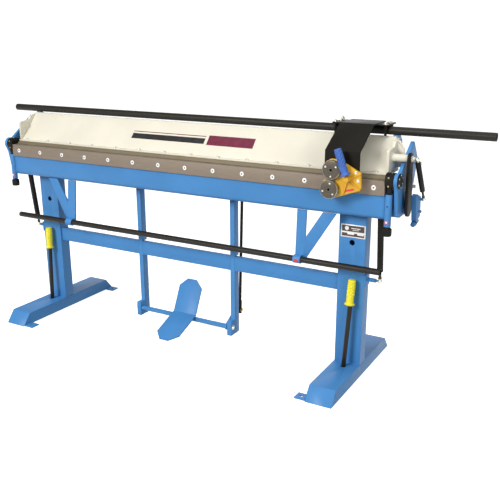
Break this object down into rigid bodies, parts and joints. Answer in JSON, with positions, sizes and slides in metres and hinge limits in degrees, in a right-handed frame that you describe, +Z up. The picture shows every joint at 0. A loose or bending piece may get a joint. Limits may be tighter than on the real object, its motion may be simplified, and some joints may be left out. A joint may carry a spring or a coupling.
{
  "type": "sheet metal brake",
  "caption": "Bench folding brake on two splayed feet: hinged bending beam with long handle bar, sloped clamping beam worked by a foot pedal, and a roller cutter on a rail",
  "frame": {"origin": "centre of the bounding box at floor level", "axes": "+X along the bending length to the right, +Y to the back, +Z up; the operator stands at -Y"},
  "size_m": [2.545, 0.701, 1.1095],
  "materials": {
    "blue_paint": "semi-gloss blue paint",
    "cream_paint": "semi-gloss cream paint",
    "tool_steel": "oiled bending steel",
    "dark_tube": "satin dark coating",
    "black_parts": "satin black",
    "black_plastic": "moulded black plastic",
    "chrome_parts": "polished",
    "yellow_grip": "yellow rubber",
    "ochre_paint": "ochre paint",
    "blue_grip": "textured blue rubber"
  },
  "bodies": {
    "stand": {"foot_left": "blue_paint", "foot_right": "blue_paint", "leg_left": "blue_paint", "leg_right": "blue_paint", "stretcher": "blue_paint", "bed_beam": "blue_paint", "bed_end_left": "blue_paint", "lower_jaw": "tool_steel", "end_plate_left": "blue_paint", "end_plate_right": "blue_paint", "hinge_flange_left": "black_parts", "hinge_flange_right": "black_parts", "pedal_post_left": "blue_paint", "pedal_post_right": "blue_paint", "spring_stub_left": "blue_paint", "spring_stub_right": "blue_paint", "strut_bracket": "blue_paint"},
    "bending": {"bending_beam": "blue_paint", "bending_bar": "tool_steel", "hinge_barrel_left": "black_parts", "hinge_barrel_right": "black_parts", "adjuster_tube_left": "blue_paint", "adjuster_tube_right": "blue_paint", "handle_bracket_left": "blue_paint", "handle_bracket_right": "blue_paint", "handle_bar": "dark_tube"},
    "clamping": {"clamp_beam": "cream_paint", "clamp_base_plate": "cream_paint", "clamp_nose": "tool_steel", "beam_end_left": "cream_paint", "beam_end_right": "cream_paint", "rail_arm_left": "blue_paint", "rail_arm_right": "blue_paint", "cutter_rail": "dark_tube"},
    "clamp_shaft": {"clamp_shaft": "blue_paint"},
    "pedal": {"pedal_plate": "blue_paint", "pedal_shaft": "blue_paint"},
    "pedal_rod": {"pedal_rod": "black_parts"},
    "cutter_shoe": {"rail_shoe": "black_parts"},
    "cutter": {"cutter_bracket": "dark_tube", "cutter_frame": "ochre_paint", "cutter_grip": "blue_grip"},
    "upper_roller": {"upper_roller": "chrome_parts"},
    "lower_roller": {"lower_roller": "chrome_parts"},
    "strut_rod": {"strut_rod": "chrome_parts"},
    "strut_body": {"strut_body": "black_parts"},
    "knob_left": {"adjuster_knob_left": "black_plastic"},
    "link_left": {"clamp_link_left": "black_parts"},
    "spring_body_left": {"spring_body_left": "black_parts"},
    "spring_rod_left": {"spring_rod_left": "chrome_parts"},
    "lever_left": {"hand_lever_left": "dark_tube", "lever_grip_left": "yellow_grip"},
    "knob_right": {"adjuster_knob_right": "black_plastic"},
    "link_right": {"clamp_link_right": "black_parts"},
    "spring_body_right": {"spring_body_right": "black_parts"},
    "spring_rod_right": {"spring_rod_right": "chrome_parts"},
    "lever_right": {"hand_lever_right": "dark_tube", "lever_grip_right": "yellow_grip"}
  },
  "joints": [
    {"name": "bending_fold", "type": "hinge", "parent": "stand", "child": "bending", "pos_m": [0, -0.0885, 0.9054], "axis": [-1, 0, 0], "range_deg": [0, 135]},
    {"name": "clamp_lift", "type": "slide", "parent": "stand", "child": "clamping", "axis": [0, 0, 1], "range_m": [0, 0.045]},
    {"name": "clamp_shaft_turn", "type": "hinge", "parent": "stand", "child": "clamp_shaft", "pos_m": [0, 0.03, 0.79], "axis": [1, 0, 0], "range_deg": [-48, 0]},
    {"name": "pedal_press", "type": "hinge", "parent": "stand", "child": "pedal", "pos_m": [0, -0.048, 0.11], "axis": [1, 0, 0], "range_deg": [-21, 0]},
    {"name": "pedal_rod_swing", "type": "hinge", "parent": "pedal", "child": "pedal_rod", "pos_m": [0.1515, 0.044, 0.17], "axis": [1, 0, 0], "range_deg": [0, 23.2]},
    {"name": "cutter_slide", "type": "slide", "parent": "clamping", "child": "cutter_shoe", "axis": [1, 0, 0], "range_m": [-1.865, 0.4]},
    {"name": "cutter_swing", "type": "hinge", "parent": "cutter_shoe", "child": "cutter", "pos_m": [0.7325, 0.072, 1.079], "axis": [-1, 0, 0], "range_deg": [0, 68]},
    {"name": "upper_roller_spin", "type": "hinge", "parent": "cutter", "child": "upper_roller", "pos_m": [0.7025, -0.175, 0.9435], "axis": [0, 1, 0], "range_deg": [-2785, 605]},
    {"name": "lower_roller_spin", "type": "hinge", "parent": "cutter", "child": "lower_roller", "pos_m": [0.695, -0.175, 0.8645], "axis": [0, 1, 0], "range_deg": [-605, 2785]},
    {"name": "strut_tilt", "type": "hinge", "parent": "stand", "child": "strut_rod", "pos_m": [1.0005, 0.105, 0.8], "axis": [1, 0, 0], "range_deg": [-6, 0]},
    {"name": "strut_slide", "type": "slide", "parent": "strut_rod", "child": "strut_body", "axis": [0, -0.5825, 0.8129], "range_m": [0, 0.038]},
    {"name": "knob_turn_left", "type": "hinge", "parent": "bending", "child": "knob_left", "pos_m": [-1.153, -0.102, 0.7], "axis": [0, 0, 1], "range_deg": [-180, 180]},
    {"name": "link_tilt_left", "type": "hinge", "parent": "clamping", "child": "link_left", "pos_m": [-1.1475, 0, 0.987], "axis": [1, 0, 0], "range_deg": [0, 2]},
    {"name": "spring_tilt_left", "type": "hinge", "parent": "bending", "child": "spring_body_left", "pos_m": [-1.1045, -0.054, 0.869], "axis": [1, 0, 0], "range_deg": [0, 145]},
    {"name": "spring_slide_left", "type": "slide", "parent": "spring_body_left", "child": "spring_rod_left", "axis": [0, 0.1102, -0.9939], "range_m": [0, 0.055]},
    {"name": "lever_lift_left", "type": "slide", "parent": "stand", "child": "lever_left", "axis": [0, 0.0537, 0.9986], "range_m": [0, 0.06]},
    {"name": "knob_turn_right", "type": "hinge", "parent": "bending", "child": "knob_right", "pos_m": [0.918, -0.102, 0.7], "axis": [0, 0, 1], "range_deg": [-180, 180]},
    {"name": "link_tilt_right", "type": "hinge", "parent": "clamping", "child": "link_right", "pos_m": [0.972, -0.029, 0.987], "axis": [1, 0, 0], "range_deg": [0, 2]},
    {"name": "spring_tilt_right", "type": "hinge", "parent": "bending", "child": "spring_body_right", "pos_m": [0.8695, -0.054, 0.869], "axis": [1, 0, 0], "range_deg": [0, 145]},
    {"name": "spring_slide_right", "type": "slide", "parent": "spring_body_right", "child": "spring_rod_right", "axis": [0, 0.1102, -0.9939], "range_m": [0, 0.055]},
    {"name": "lever_lift_right", "type": "slide", "parent": "stand", "child": "lever_right", "axis": [0.0499, 0.0536, 0.9973], "range_m": [0, 0.06]}
  ],
  "couplings": [
    {"joint": "clamp_shaft_turn", "follows": "clamp_lift", "rad_per_m": -18.32},
    {"joint": "pedal_press", "follows": "clamp_lift", "rad_per_m": -7.9024},
    {"joint": "pedal_rod_swing", "follows": "clamp_lift", "rad_per_m": 8.7327},
    {"joint": "cutter_swing", "follows": "bending_fold", "ratio": 0.5},
    {"joint": "upper_roller_spin", "follows": "cutter_slide", "rad_per_m": 25.974},
    {"joint": "lower_roller_spin", "follows": "cutter_slide", "rad_per_m": -25.974},
    {"joint": "strut_tilt", "follows": "clamp_lift", "rad_per_m": -2.1774},
    {"joint": "strut_slide", "follows": "clamp_lift", "ratio": 0.84022},
    {"joint": "link_tilt_left", "follows": "clamp_lift", "rad_per_m": 0.70969},
    {"joint": "spring_tilt_left", "follows": "bending_fold", "ratio": 1.0724},
    {"joint": "spring_slide_left", "follows": "bending_fold", "m_per_rad": 0.02279},
    {"joint": "link_tilt_right", "follows": "clamp_lift", "rad_per_m": 0.7197},
    {"joint": "spring_tilt_right", "follows": "bending_fold", "ratio": 1.0724},
    {"joint": "spring_slide_right", "follows": "bending_fold", "m_per_rad": 0.02279}
  ]
}
